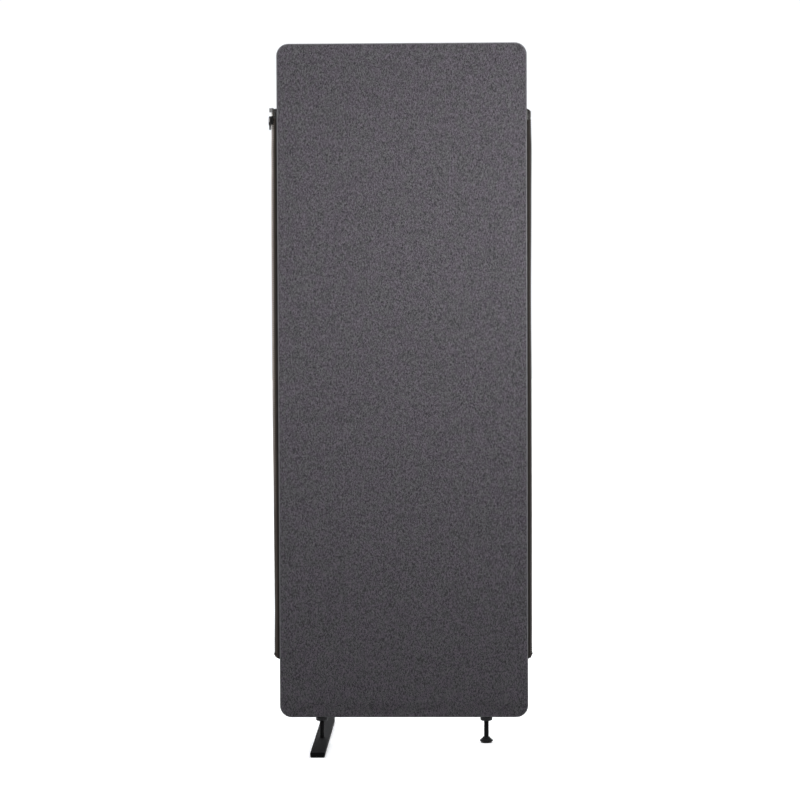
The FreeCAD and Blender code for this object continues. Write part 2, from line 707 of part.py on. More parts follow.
def build_foot():
    x, w, fit = -STEM_X, FOOT_W / 2, THREAD_FIT
    bar = block(x - w, x + w, -FOOT_FRONT, FOOT_REAR, FOOT_PAD_T, BAR_TOP)
    bar = softened(bar, FOOT_EDGE_R, "z", BAR_TOP)
    rise = FOOT_SCREW_HEAD_R - FOOT_SCREW_R
    sink = FOOT_PAD_T + 0.3
    hole = revolved(
        [
            (0, FOOT_PAD_T - 1),
            (FOOT_SCREW_HEAD_R + fit, FOOT_PAD_T - 1),
            (FOOT_SCREW_HEAD_R + fit, sink),
            (FOOT_SCREW_R + fit, sink + rise),
            (FOOT_SCREW_R + fit, BAR_TOP + 1),
            (0, BAR_TOP + 1),
        ],
        x,
    )
    save("foot_bar", bar.cut(hole))
    save("foot_screw", foot_screw())

    pads = []
    for end, reach in ((-1, FOOT_FRONT), (1, FOOT_REAR)):
        outer = reach - FOOT_PAD_INSET
        y0, y1 = sorted((end * outer, end * (outer - FOOT_PAD_LEN)))
        pads.append(block(x - w + FOOT_PAD_SIDE, x + w - FOOT_PAD_SIDE, y0, y1, 0, FOOT_PAD_T))
    save("foot_pads", *pads)

    stem = rod(STEM_R, BAR_TOP, STEM_TOP, x)
    tapped = rod(FOOT_SCREW_R + fit, BAR_TOP - 1, BAR_TOP + FOOT_SCREW_DEPTH + 1, x)
    save("foot_stem", stem.cut(tapped))


def build_glide():
    x = STEM_X
    head_low = GLIDE_SOLE_T + 0.6
    head_high = head_low + STEM_HEAD_T
    stem = rod(STEM_R, head_high - 1, STEM_TOP, x).fuse(rod(STEM_HEAD_R, head_low, head_high, x))
    save("glide_stem", stem.removeSplitter())

    base = revolved(
        [
            (0, GLIDE_SOLE_T),
            (GLIDE_SOLE_R + 0.6, GLIDE_SOLE_T),
            (GLIDE_R, GLIDE_RIM_Z - 0.8),
            (GLIDE_R, GLIDE_RIM_Z + 0.8),
            (GLIDE_TOP_R + 1.2, GLIDE_H - 2.2),
            (GLIDE_TOP_R, GLIDE_H),
            (0, GLIDE_H),
        ],
        x,
    )
    neck = rod(STEM_R + STEM_HEAD_FIT, GLIDE_SOLE_T, GLIDE_H + 1, x)
    cavity = rod(STEM_HEAD_R + STEM_HEAD_FIT, GLIDE_SOLE_T - 1, head_high + STEM_HEAD_FIT, x)
    save("glide_base", base.cut([neck, cavity]))
    save("glide_sole", rod(GLIDE_SOLE_R, 0, GLIDE_SOLE_T, x))


build_frame()
build_infill()
build_cover()
build_zip_halves()
build_slider()
build_sockets()
build_foot()
build_glide()
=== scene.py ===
# %% [markdown]
# # A free-standing acoustic partition panel
#
# The panel is a steel tube frame filled with felt boards. A fabric cover in two halves is pulled over
# it, with its seam round the middle of the thin edge. Half of a separating zipper stands out of that
# seam on each side, so that panels join edge to edge. Two threaded stems carry it: a long flat foot on
# one, a round glide on the other.
#
# The engineering model is loaded first and stays as it is. Everything soft, woven or threaded is then
# made again here in finer detail, and every part gets a procedural finish.

# %% Load the frame
import math

import bmesh
import bpy
import numpy as np
from mathutils import Matrix, Vector


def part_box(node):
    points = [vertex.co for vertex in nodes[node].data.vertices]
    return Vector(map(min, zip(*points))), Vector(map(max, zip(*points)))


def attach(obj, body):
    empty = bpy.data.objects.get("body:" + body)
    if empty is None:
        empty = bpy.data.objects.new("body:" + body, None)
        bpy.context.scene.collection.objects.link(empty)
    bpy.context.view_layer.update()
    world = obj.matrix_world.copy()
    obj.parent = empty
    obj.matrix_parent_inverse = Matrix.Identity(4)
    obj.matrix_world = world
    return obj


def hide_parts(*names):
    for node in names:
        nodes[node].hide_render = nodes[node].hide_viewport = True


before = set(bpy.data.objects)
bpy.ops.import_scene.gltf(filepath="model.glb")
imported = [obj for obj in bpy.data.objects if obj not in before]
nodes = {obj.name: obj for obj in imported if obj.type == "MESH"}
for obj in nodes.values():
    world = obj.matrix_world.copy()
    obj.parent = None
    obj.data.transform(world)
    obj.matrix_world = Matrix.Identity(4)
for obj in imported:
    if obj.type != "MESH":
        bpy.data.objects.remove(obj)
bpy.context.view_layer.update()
MM = 0.001

# %% [markdown]
# ## Places
#
# Sizes are read from the loaded parts where a part has them, so the fabric fits the frame whatever the
# panel's size is.

# %% Read the panel's own sizes
cover_low, cover_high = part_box("cover_front")
_, rear_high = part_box("cover_rear")
HALF_W = cover_high.x
LOW_Z, HIGH_Z = cover_low.z, cover_high.z
PANEL_Y = (cover_low.y + rear_high.y) / 2  # the panel's middle plane; the origin is under the whole part
HALF_T = rear_high.y - PANEL_Y
CORNER_R = 29 * MM
TAPE_CURL = 8.2 * MM  # seam to the end of the tape's curl
TAPE_W = 12.4 * MM  # seam to the tape's corded edge
TAPE_TURN = {"left": math.radians(38), "right": math.radians(66)}
FIRST_TOOTH = 1.7 * MM  # lower end of the row to the middle of the first tooth
SIGN = {"left": -1, "right": 1}
print("panel", round(HALF_W * 2, 4), "x", round(HIGH_Z - LOW_Z, 4), "x", round(HALF_T * 2, 4))


# %% [markdown]
# ## Shader arithmetic
#
# A finish is a sum of small patterns. Writing it as Python expressions is easier to read than wiring
# boxes, so one class wraps a socket and turns `+`, `-` and `*` into Math nodes. Colours don't go through
# it: they are blended by Mix nodes.


# %% A socket that can be calculated with
class Term:
    """One shader value, with the arithmetic that the finishes use."""

    def __init__(self, tree, socket):
        self.tree, self.socket = tree, socket

    def math(self, operation, first, second=0.0):
        node = self.tree.nodes.new("ShaderNodeMath")
        node.operation = operation
        for slot, value in zip(node.inputs, (first, second)):
            if isinstance(value, Term):
                self.tree.links.new(value.socket, slot)
            else:
                slot.default_value = value
        return Term(self.tree, node.outputs[0])

    def __add__(self, other):
        return self.math("ADD", self, other)

    def __sub__(self, other):
        return self.math("SUBTRACT", self, other)

    def __rsub__(self, other):
        return self.math("SUBTRACT", other, self)

    def __mul__(self, other):
        return self.math("MULTIPLY", self, other)

    __radd__, __rmul__ = __add__, __mul__

    def sine(self):
        return self.math("SINE", self)


print("shader values can be added, subtracted and multiplied")


# %% A finish: one material and its shader
class Finish:
    """A material with one Principled shader, and one method that adds any other node."""

    def __init__(self, name, **constants):
        self.material = bpy.data.materials.new(name)
        self.material.use_nodes = True
        self.tree = self.material.node_tree
        self.shader = self.tree.nodes["Principled BSDF"]
        for socket, value in constants.items():
            self.shader.inputs[socket.replace("_", " ")].default_value = value
        self.place = self.node("ShaderNodeTexCoord", out="Object")

    def node(self, kind, settings=None, sockets=None, out=0):
        made = self.tree.nodes.new(kind)
        for name, value in (settings or {}).items():
            setattr(made, name, value)
        by_id = {s.identifier: s for s in made.inputs}
        for name, value in (sockets or {}).items():
            slot = by_id.get(name) or made.inputs[name]
            if isinstance(value, Term):
                self.tree.links.new(value.socket, slot)
            else:
                slot.default_value = value
        outs = {s.identifier: s for s in made.outputs}
        return Term(self.tree, outs.get(out) or made.outputs[out])

    def stretch(self, x, y, z, source=None):
        return self.node(
            "ShaderNodeVectorMath", {"operation": "MULTIPLY"}, {0: source or self.place, 1: (x, y, z)}
        )

    def noise(self, per_metre, detail=2.0, rough=0.5, twist=0.0, at=None):
        sockets = {
            "Vector": at or self.place,
            "Scale": per_metre,
            "Detail": detail,
            "Roughness": rough,
            "Distortion": twist,
        }
        return self.node("ShaderNodeTexNoise", {"noise_dimensions": "3D"}, sockets, out="Fac")

    def axis(self, name, source=None):
        return self.node("ShaderNodeSeparateXYZ", None, {0: source or self.place}, out=name)

    def spread(self, value, low, high, to_low=0.0, to_high=1.0):
        """Stretches the range low..high of a value to to_low..to_high, and stops there."""
        sockets = {0: value, 1: low, 2: high, 3: to_low, 4: to_high}
        return self.node("ShaderNodeMapRange", {"interpolation_type": "SMOOTHSTEP"}, sockets)

    def blend(self, share, first, second, mode="MIX"):
        def colour(value):
            return value if isinstance(value, Term) else (*value, 1.0)

        sockets = {"Factor_Float": share, "A_Color": colour(first), "B_Color": colour(second)}
        settings = {"data_type": "RGBA", "blend_type": mode}
        return self.node("ShaderNodeMix", settings, sockets, out="Result_Color")

    def bump(self, height, depth, strength, under=None):
        sockets = {"Height": height, "Distance": depth, "Strength": strength}
        if under is not None:
            sockets["Normal"] = under
        return self.node("ShaderNodeBump", None, sockets, out="Normal")

    def set(self, **channels):
        for name, value in channels.items():
            self.tree.links.new(value.socket, self.shader.inputs[name.replace("_", " ")])
        return self.material


print("shader helpers ready")

# %% [markdown]
# ## Camera and light
#
# A long lens from a little over five metres keeps the panel's edges nearly parallel. The key light hangs
# in front of the panel's upper part, so the fabric grows darker towards the floor. The surroundings are
# white behind the panel and dimmer in front of it, as in a studio with a lit backdrop.


# %% Camera
def camera_axes(yaw, pitch, roll):
    ahead = Vector((math.sin(yaw) * math.cos(pitch), math.cos(yaw) * math.cos(pitch), -math.sin(pitch)))
    side = Vector((math.cos(yaw), -math.sin(yaw), 0))
    up = side.cross(ahead)
    turned = side * math.cos(roll) + up * math.sin(roll)
    return turned, up * math.cos(roll) - side * math.sin(roll), -ahead


CAMERA_PLACE = (0.1028, PANEL_Y - 5.4202, 0.9926)
CAMERA_TURN = (-1.158, 1.767, -0.237)  # yaw, pitch and roll in degrees

lens = bpy.data.cameras.new("view")
lens.lens, lens.sensor_width = 101.745, 36.0
lens.clip_end = 200
camera = bpy.data.objects.new("view", lens)
bpy.context.scene.collection.objects.link(camera)
columns = camera_axes(*(math.radians(angle) for angle in CAMERA_TURN))
camera.matrix_world = Matrix.Translation(CAMERA_PLACE) @ Matrix(columns).transposed().to_4x4()
bpy.context.scene.camera = camera
print("camera at", [round(v, 3) for v in camera.location])


# %% Surroundings
BACKDROP = (-0.5, 0.4, 0.14, 1.06)  # from and to along Y, then the strength at each
ZENITH = (0.72, 0.95, 0.0, 2.2)  # from and to along Z, then the extra strength at each


def studio_world():
    """White behind, extra light overhead, dimmer in front."""
    world = bpy.data.worlds.new("studio")
    bpy.context.scene.world = world
    world.use_nodes = True
    tree = world.node_tree
    aim = tree.nodes.new("ShaderNodeTexCoord")
    split = tree.nodes.new("ShaderNodeSeparateXYZ")
    tree.links.new(aim.outputs["Generated"], split.inputs[0])
    both = tree.nodes.new("ShaderNodeMath")
    for number, (axis, numbers) in enumerate((("Y", BACKDROP), ("Z", ZENITH))):
        part = tree.nodes.new("ShaderNodeMapRange")
        part.interpolation_type = "SMOOTHSTEP"
        for slot, value in zip(part.inputs[1:5], numbers):
            slot.default_value = value
        tree.links.new(split.outputs[axis], part.inputs[0])
        tree.links.new(part.outputs[0], both.inputs[number])
    tree.links.new(both.outputs[0], tree.nodes["Background"].inputs["Strength"])
    tree.nodes["Background"].inputs["Color"].default_value = (0.955, 0.97, 1, 1)


studio_world()
print("surroundings go from", BACKDROP[2], "in front to", BACKDROP[3], "behind")


# %% Lights
def lamp(name, place, aim, size, watts, spread):
    """An area light at place, pointed at aim; both are given from the panel's middle plane."""
    light = bpy.data.lights.new(name, "AREA")
    light.shape, light.size, light.size_y = "RECTANGLE", *size
    light.energy, light.spread = watts, math.radians(spread)
    holder = bpy.data.objects.new(name, light)
    bpy.context.scene.collection.objects.link(holder)
    holder.location = Vector(place) + Vector((0, PANEL_Y, 0))
    holder.rotation_euler = (Vector(aim) - Vector(place)).to_track_quat("-Z", "Y").to_euler()
    print(name, "light,", watts, "W")


lamp("key", (1.25, -1.55, 1.5), (0.1, 0, 1.27), (0.9, 0.8), 9.3, 93)
lamp("fill", (-1.15, -1.6, 1.55), (-0.05, 0, 1.3), (0.9, 0.8), 0.9, 93)
lamp("side", (-2.3, -0.95, 1.3), (-0.31, 0, 1.2), (0.5, 0.9), 3.0, 75)
bpy.context.scene.view_settings.view_transform = "Standard"

# %% [markdown]
# The floor is a sheet of white paper that glows faintly, as paper lit from below does, so the feet throw
# only the faintest shadow. It is staging for the picture and not a piece of the panel.

# %% Floor
floor_mesh = bpy.data.meshes.new("studio_floor")
floor_mesh.from_pydata([(-40, -40, 0), (40, -40, 0), (40, 40, 0), (-40, 40, 0)], [], [(0, 1, 2, 3)])
studio_floor = bpy.data.objects.new("studio_floor", floor_mesh)
bpy.context.scene.collection.objects.link(studio_floor)
paper = Finish(
    "studio_paper", Roughness=0.9, Specular_IOR_Level=0.1, Emission_Color=(1, 1, 1, 1), Emission_Strength=0.28
)
shade = paper.noise(0.7, 2)
floor_mesh.materials.append(
    paper.set(Base_Color=paper.blend(shade, (0.9, 0.9, 0.9), (0.94, 0.94, 0.94)))
)
studio_floor.visible_diffuse = False  # white paper, but it throws no light up at the panel
print("floor laid")


# %% [markdown]
# ## Finishes
#
# The cover is a heather wool cloth: its yarn was spun from light and dark fibres before weaving, so the
# surface shows short worm-like blotches a few millimetres long, taller than they are wide. A twisted
# noise, squeezed in height, gives those. A much wider noise drifts between a greenish and a purplish
# grey, and a fine crossing wave stands for the threads themselves.


# %% Heather wool for the cover
def wool(name, dark, light, green, purple):
    cloth = Finish(name, Roughness=0.95, Specular_IOR_Level=0.25, Sheen_Weight=0.05, Sheen_Roughness=0.6)
    tall = cloth.stretch(1.0, 1.0, 0.56)
    worms = cloth.noise(375, 4.0, 0.62, 1.1, tall)
    hairs = cloth.noise(1700, 4.0, 0.75, 0.9, cloth.stretch(1.0, 1.0, 0.28))
    tone = cloth.spread(worms, 0.385, 0.615) * 0.74 + cloth.spread(hairs, 0.34, 0.66) * 0.26
    drift = cloth.spread(cloth.noise(38, 3.0, 0.6, 0.8), 0.4, 0.6)
    tint = cloth.blend(drift, green, purple)
    base = cloth.blend(1.0, cloth.blend(tone, dark, light), tint, "MULTIPLY")
    x, y, z = (cloth.axis(a) * 5200 for a in "XYZ")
    threads = (x + y).sine() * z.sine() * 0.5 + 0.5
    fibre = cloth.noise(1700, 2.0, 0.7)
    height = threads * 0.35 + fibre * 0.4 + tone * 0.25
    rough = 0.98 - tone * 0.1
    return cloth.set(Base_Color=base, Roughness=rough, Normal=cloth.bump(height, 0.0006, 0.8))


cover_cloth = wool(
    "cover_wool",
    (0.0215, 0.0202, 0.0228),
    (0.171, 0.1625, 0.1765),
    (0.975, 0.99, 0.975),
    (1.035, 0.968, 1.05),
)
print("made", cover_cloth.name)

# %% [markdown]
# Everything under the cover is felt, steel tube and moulded corners. It is hidden in use, and shows when
# the model is taken apart, so it has its own finishes too. Felt is pressed loose fibre: two noises, one
# fine and one soft. Zinc-plated tube has a faint crystal pattern.


# %% Felt and board
def felt(name, dark, light, grain):
    cloth = Finish(name, Roughness=1.0, Specular_IOR_Level=0.2)
    fibre = cloth.noise(grain, 4.0, 0.7, 1.2)
    cloud = cloth.noise(grain / 14, 2.0)
    tone = cloth.spread(fibre * 0.7 + cloud * 0.3, 0.35, 0.65)
    return cloth.set(
        Base_Color=cloth.blend(tone, dark, light),
        Roughness=1.0 - tone * 0.12,
        Normal=cloth.bump(fibre, 0.0006, 0.7),
    )


felt_grey = felt("felt_grey", (0.13, 0.13, 0.135), (0.23, 0.23, 0.235), 900)
felt_core = felt("felt_core", (0.2, 0.19, 0.17), (0.36, 0.34, 0.3), 500)
print("made", felt_grey.name, "and", felt_core.name)


# %% Metals: plated tube, bright screws, dark slider
def metal(name, dark, light, rough, grain, wear=None, scratch=0.00003):
    """Bare metal, or metal under a dark coating that has come off where wear says."""
    steel = Finish(name, Metallic=0.0 if wear else 1.0, Specular_IOR_Level=0.16 if wear else 0.5)
    cloud = steel.noise(grain, 3.0, 0.6)
    streak = steel.noise(grain * 9, 2.0, 0.6, 0.0, steel.stretch(1, 1, 0.12))
    tone = steel.spread(cloud * 0.6 + streak * 0.4, 0.35, 0.65)
    colour = steel.blend(tone, dark, light)
    if wear:
        where = wear(steel)
        colour = steel.blend(where, colour, (0.36, 0.35, 0.34))
        steel.set(Metallic=where)
    return steel.set(
        Base_Color=colour, Roughness=rough + tone * 0.14, Normal=steel.bump(streak, scratch, 0.6)
    )


plated = metal("plated_tube", (0.42, 0.43, 0.45), (0.62, 0.63, 0.64), 0.3, 60)
bright_steel = metal("bright_steel", (0.5, 0.5, 0.5), (0.72, 0.71, 0.7), 0.24, 240)
print("metals ready")

# %% [markdown]
# The slider is cast metal with a dark antique finish. Hands and the pull rub it bright on the raised
# bridge first. The bridge is the part that stands furthest from the tape, so the wear follows the
# distance from the tape's own plane, broken up by noise. On the pull the wear lies in noisy patches.


# %% Worn slider finish
def off_tape(finish, side="left"):
    """Distance in metres in front of the plane that the straight part of the tape lies in."""
    turn = TAPE_TURN[side]
    radius = TAPE_CURL / turn
    through_x = SIGN[side] * (HALF_W + radius * math.sin(turn))
    through_y = PANEL_Y + radius * (1 - math.cos(turn))
    along_x, along_y = SIGN[side] * math.sin(turn), -math.cos(turn)
    constant = through_x * along_x + through_y * along_y
    return finish.axis("X") * along_x + finish.axis("Y") * along_y - constant


def bridge_wear(finish):
    patchy = finish.noise(900, 3.0, 0.7) * 0.0012
    return finish.spread(off_tape(finish) + patchy, 0.0078, 0.0096, 0.0, 0.9)


def pull_wear(finish):
    patchy = finish.noise(700, 3.0, 0.7)
    return finish.spread(patchy, 0.52, 0.74, 0.0, 0.5)


antique = metal("antique_metal", (0.008, 0.0075, 0.0075), (0.02, 0.019, 0.018), 0.36, 500, bridge_wear)
antique_pull = metal("antique_pull", (0.01, 0.0095, 0.009), (0.03, 0.028, 0.027), 0.34, 500, pull_wear)
print("slider finishes ready")

# %% [markdown]
# Moulded plastic has a fine spark-eroded texture and a soft gloss. Powder coat is sprayed paint that
# melts into a skin with an orange-peel ripple. Rubber is matt, with dust in its pores. The three share
# one recipe with different numbers: a colour that varies a little, a ripple and a fine grain.


# %% Plastics, powder coat and rubber
def skin(name, dark, light, rough, ripple, grain, ripple_depth, grain_depth, dust=0.0, **constants):
    coat = Finish(name, **constants)
    wide = coat.noise(ripple, 2.0, 0.5)
    fine = coat.noise(grain, 2.0, 0.6)
    tone = coat.spread(wide * 0.5 + fine * 0.5, 0.35, 0.65)
    colour = coat.blend(tone, dark, light)
    if dust:
        settled = coat.spread(coat.noise(ripple * 0.6, 4.0, 0.7), 0.52, 0.75, 0.0, dust)
        colour = coat.blend(settled, colour, (0.16, 0.15, 0.14))
    waves = coat.bump(wide, ripple_depth, 0.6)
    return coat.set(
        Base_Color=colour,
        Roughness=rough + fine * 0.12,
        Normal=coat.bump(fine, grain_depth, 0.6, waves),
    )


foot_coat = skin(
    "foot_powder_coat", (0.0025, 0.0023, 0.0024), (0.0052, 0.0048, 0.005), 0.6, 420, 2600, 0.00012, 0.00002,
    Specular_IOR_Level=0.06,
)
stem_black = skin(
    "stem_black_zinc", (0.003, 0.0028, 0.0029), (0.007, 0.0066, 0.0068), 0.42, 500, 2400, 0.00003, 0.00001,
    Specular_IOR_Level=0.1,
)
collar_black = skin(
    "collar_plastic", (0.007, 0.0068, 0.0078), (0.0125, 0.012, 0.0135), 0.44, 300, 3000, 0.00003, 0.00003,
    Specular_IOR_Level=0.22,
)
glide_black = skin(
    "glide_plastic", (0.0022, 0.002, 0.002), (0.005, 0.0048, 0.0048), 0.42, 300, 3000, 0.00003, 0.00003,
    Specular_IOR_Level=0.14,
)
rubber = skin(
    "pad_rubber", (0.012, 0.012, 0.012), (0.024, 0.023, 0.022), 0.75, 260, 2200, 0.00006, 0.00005, 0.35
)
elbow_grey = skin(
    "elbow_plastic", (0.05, 0.05, 0.055), (0.075, 0.075, 0.08), 0.45, 260, 2600, 0.00004, 0.00003
)
box_grey = skin("box_plastic", (0.17, 0.167, 0.163), (0.27, 0.265, 0.26), 0.33, 380, 2600, 0.00003, 0.00002)
pin_bright = metal("pin_bright", (0.34, 0.33, 0.32), (0.55, 0.54, 0.52), 0.28, 400)
# The right row of teeth and the bottom stops take this dark brass. The left row takes a paler copy of it
# below, which is painted light.
tooth_brown = skin(
    "tooth_brass_dark", (0.018, 0.0125, 0.0098), (0.046, 0.034, 0.027), 0.36, 260, 2400, 0.00003, 0.00002,
    Metallic=0.25,
)


def painted_lit_teeth(name):
    """Dark brass painted paler than the right row, most towards the top: painted light, broken up by noise.
    """
    teeth = Finish(name, Specular_IOR_Level=0.45, Metallic=0.2)
    patchy = teeth.noise(16, 3.0, 0.6)
    fine = teeth.noise(1400, 2.0, 0.6)
    height = teeth.axis("Z")
    # Painted highlight: paler towards the top, where the key light falls. Lower down the teeth keep the
    # darker unlit brass.
    lit_share = teeth.spread(height + patchy * 0.35, 0.62, 1.12)
    lit_colour = teeth.blend(fine, (0.47, 0.415, 0.375), (0.68, 0.61, 0.56))
    fresh = teeth.blend(fine, (0.06, 0.048, 0.041), (0.13, 0.108, 0.095))
    return teeth.set(
        Base_Color=teeth.blend(lit_share, fresh, lit_colour),
        Roughness=0.32 + fine * 0.2,
        Normal=teeth.bump(fine, 0.00003, 0.6),
    )


tooth_painted_lit = painted_lit_teeth("tooth_brass_painted_lit")
print("plastics, coat and rubber ready")

# %% [markdown]
# Zipper tape is a narrow twill, woven on a needle loom. Its slanting lines follow the tape as it curls,
# so the pattern reads the tape's own UV map, which runs across the tape in U and along it in V, both in
# metres. The reinforcing film at the upper ends is clear, with the tape showing through.


# %% Twill tape and clear film
def twill_tape(name, dark, light, band_lit_colour):
    """Black twill: painted shade by the seam, painted light from there out to the teeth."""
    tape = Finish(name, Roughness=0.85, Specular_IOR_Level=0.3, Sheen_Weight=0.1)
    uv = tape.node("ShaderNodeUVMap", {"uv_map": "UVMap"}, out="UV")
    across, along = tape.axis("X", uv), tape.axis("Y", uv)
    slant = ((across + along) * 5200).sine() * 0.5 + 0.5
    picks = (along * 11000).sine() * 0.5 + 0.5
    fibre = tape.noise(1500, 3.0, 0.7)
    faded = tape.spread(tape.noise(45, 3.0), 0.35, 0.7)
    tone = slant * 0.5 + fibre * 0.3 + faded * 0.2
    band = tape.spread(across, 0.0028, 0.0072) * (0.7 + tone * 0.6)
    return tape.set(
        Base_Color=tape.blend(band, tape.blend(tone, dark, light), band_lit_colour),
        Roughness=0.92 - slant * 0.12,
        Normal=tape.bump(slant * 0.6 + picks * 0.2 + fibre * 0.2, 0.00025, 0.8),
    )


def clear_film(name):
    film = Finish(name, Roughness=0.25, IOR=1.45, Specular_IOR_Level=0.3)
    haze = film.spread(film.noise(300, 3.0), 0.35, 0.65)
    return film.set(
        Base_Color=film.blend(haze, (0.02, 0.0185, 0.017), (0.05, 0.046, 0.043)),
        Roughness=0.2 + haze * 0.2,
        Alpha=0.55 + haze * 0.25,
        Normal=film.bump(film.noise(700, 2.0), 0.00005, 0.5),
    )


# The left tape is a paler copy of the right one, with a paler band: painted light on the tape that turns
# towards the lamps.
tape_painted_lit = twill_tape(
    "tape_twill_painted_lit", (0.0065, 0.0045, 0.0034), (0.025, 0.0185, 0.0145), (0.07, 0.055, 0.044)
)
tape_black = twill_tape(
    "tape_twill", (0.005, 0.0034, 0.0025), (0.019, 0.0135, 0.0105), (0.019, 0.0135, 0.0105)
)
film_clear = clear_film("tape_film")
print("tape and film ready")

# %% [markdown]
# ## Finishes on the engineering parts
#
# Hard parts whose shape is already right keep their mesh and only change their finish. The names say
# which finish goes where.

# %% Hand the finishes out
WEARS = {
    cover_cloth: ["cover_front", "cover_rear"],
    felt_grey: ["felt_board_front", "felt_board_rear", "edge_felt_band"],
    felt_core: ["core_board_lower", "core_board_upper"],
    plated: [
        "frame_bottom_rail", "frame_left_stile", "frame_mid_rail", "frame_right_stile", "frame_top_rail",
    ],
    bright_steel: ["frame_screws", "mid_rail_screws", "weld_nut_left", "weld_nut_right", "foot_screw"],
    elbow_grey: [
        "elbow_bottom_left", "elbow_bottom_right", "elbow_top_left", "elbow_top_right", "mid_rail_plugs",
    ],
    collar_black: ["socket_collar_left", "socket_collar_right"],
    foot_coat: ["foot_bar"],
    stem_black: ["foot_stem", "glide_stem"],
    rubber: ["foot_pads", "glide_sole"],
    glide_black: ["glide_base"],
    tape_painted_lit: ["zip_tape_left"],
    tape_black: ["zip_tape_right"],
    film_clear: ["zip_end_film_left", "zip_end_film_right"],
    tooth_painted_lit: ["zip_teeth_left"],
    tooth_brown: ["zip_teeth_right", "zip_bottom_stop_left", "zip_bottom_stop_right"],
    pin_bright: ["zip_fixed_pin", "zip_insertion_pin"],
    box_grey: ["zip_retainer_box"],
    antique: ["slider_body"],
    antique_pull: ["pull_tab"],
}
for material, names in WEARS.items():
    for name in names:
        for slot in nodes[name].material_slots:
            slot.material = material
dressed = sum(len(names) for names in WEARS.values())
print("finishes on", dressed, "of", len(nodes), "parts")


# %% [markdown]
# ## The cover
#
# The real cover is two cloth shells sewn to a zipper tape round the edge, pulled tight over felt. It is
# nearly flat, swells a little between its edges, and dips at the seam. A remeshed block would lose the
# narrow seam, so the mesh is drawn with its loops where the cloth needs them: an even grid on each face,
# rings round the edge, and a narrow groove. A quarter disc fills each corner from a square patch of
# the same grid, so the quads stay regular and the cloth solver behaves.


# %% Grid and outline helpers
def steps(start, stop, size):
    count = max(1, round(abs(stop - start) / size))
    return [start + (stop - start) * k / count for k in range(count + 1)]


def rounded_grid(half_w, low, high, radius, size, cells):
    """Points of an even grid on a rounded rectangle, with how far each leans into its corner."""
    mid = (low + high) / 2
    half_h = (high - low) / 2
    ramp = [k / cells for k in range(1, cells + 1)]

    def line(half):
        inner = steps(-(half - radius), half - radius, size)
        return (
            [(-(half - radius), -k) for k in reversed(ramp)]
            + [(v, 0.0) for v in inner]
            + [(half - radius, k) for k in ramp]
        )

    rows = []
    for z, q in line(half_h):
        row = []
        for x, p in line(half_w):
            lean_x = p * math.sqrt(1 - q * q / 2)
            lean_z = q * math.sqrt(1 - p * p / 2)
            row.append((x, z + mid, lean_x, lean_z))
        rows.append(row)
    return rows


def rim(rows):
    """The grid's outer points in order, going round once, as (row, column)."""
    last_row, last_col = len(rows) - 1, len(rows[0]) - 1
    down = [(r, 0) for r in range(last_row, 0, -1)]
    return (
        [(0, c) for c in range(last_col)]
        + [(r, last_col) for r in range(last_row)]
        + [(last_row, c) for c in range(last_col, 0, -1)]
        + down
    )


def plain_object(name, points, edges=(), faces=()):
    mesh = bpy.data.meshes.new(name)
    mesh.from_pydata([tuple(p) for p in points], list(edges), list(faces))
    made = bpy.data.objects.new(name, mesh)
    bpy.context.scene.collection.objects.link(made)
    return made


def face_outwards(mesh):
    """Turns every face of a closed mesh to look out of it."""
    tidy = bmesh.new()
    tidy.from_mesh(mesh)
    bmesh.ops.recalc_face_normals(tidy, faces=tidy.faces)
    tidy.to_mesh(mesh)
    tidy.free()


def shade_smooth(mesh):
    for face in mesh.polygons:
        face.use_smooth = True


print("mesh helpers ready")


# %% Draw the cover
EDGE_R = 3.6 * MM  # cloth rounds the edge more softly than the board under it
STITCH_OFF = 3.0 * MM  # seam to each row of stitches
SIDE_IN = 0.5 * MM  # the drawn cloth starts this far inside and is then blown up
FACE_IN = 0.9 * MM


def edge_rings():
    """(inset from the side, distance from the middle plane) of each ring, face to seam."""
    face = HALF_T - FACE_IN
    rings = []
    for k in range(1, 5):
        turn = math.radians(90) * k / 4
        rings.append((EDGE_R * (1 - math.sin(turn)), face - EDGE_R * (1 - math.cos(turn))))
    rings += [(0.0, 7.4 * MM), (0.0, 5.0 * MM), (0.0, STITCH_OFF), (0.0, 1.9 * MM)]
    rings += [(0.25 * MM, 1.15 * MM), (1.0 * MM, 0.72 * MM), (2.4 * MM, 0.6 * MM)]
    return rings


